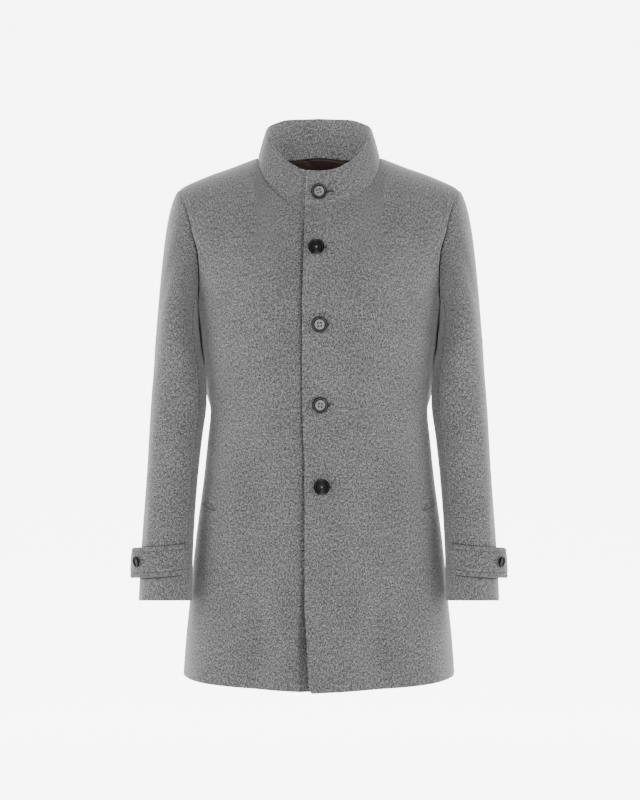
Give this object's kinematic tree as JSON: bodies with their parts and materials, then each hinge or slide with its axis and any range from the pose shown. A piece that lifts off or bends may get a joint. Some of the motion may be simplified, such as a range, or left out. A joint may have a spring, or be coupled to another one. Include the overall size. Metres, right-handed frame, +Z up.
{
  "type": "wool coat, filled out with no wearer",
  "caption": "Single-breasted mid-thigh wool coat with a stand collar, two-piece sleeves, cuff tabs and five buttons, grey melton.",
  "frame": {"origin": "centre of the neck, level with the points where the shoulder seams meet the collar", "axes": "+Z up, the front faces -Y, the wearer's left is +X"},
  "size_m": [0.5914, 0.3158, 0.9052],
  "materials": {
    "wool": "matte",
    "wool_collar": "matte",
    "lining": "satin",
    "satin_patch": "satin",
    "horn_grey": "satin",
    "horn_dark": "satin"
  },
  "bodies": {
    "root": {"front_left": "wool", "front_right": "wool", "back": "wool", "collar": "wool_collar", "sleeve_left_top": "wool", "sleeve_left_under": "wool", "sleeve_right_top": "wool", "sleeve_right_under": "wool", "cuff_tab_left": "wool", "cuff_tab_right": "wool", "pocket_welt_left": "wool", "pocket_welt_right": "wool", "lining": "lining", "neck_patch": "satin_patch", "button_front_1": "horn_grey", "button_front_2": "horn_dark", "button_front_3": "horn_grey", "button_front_4": "horn_grey", "button_front_5": "horn_dark", "button_cuff_left": "horn_dark", "button_cuff_right": "horn_dark"}
  },
  "joints": []
}
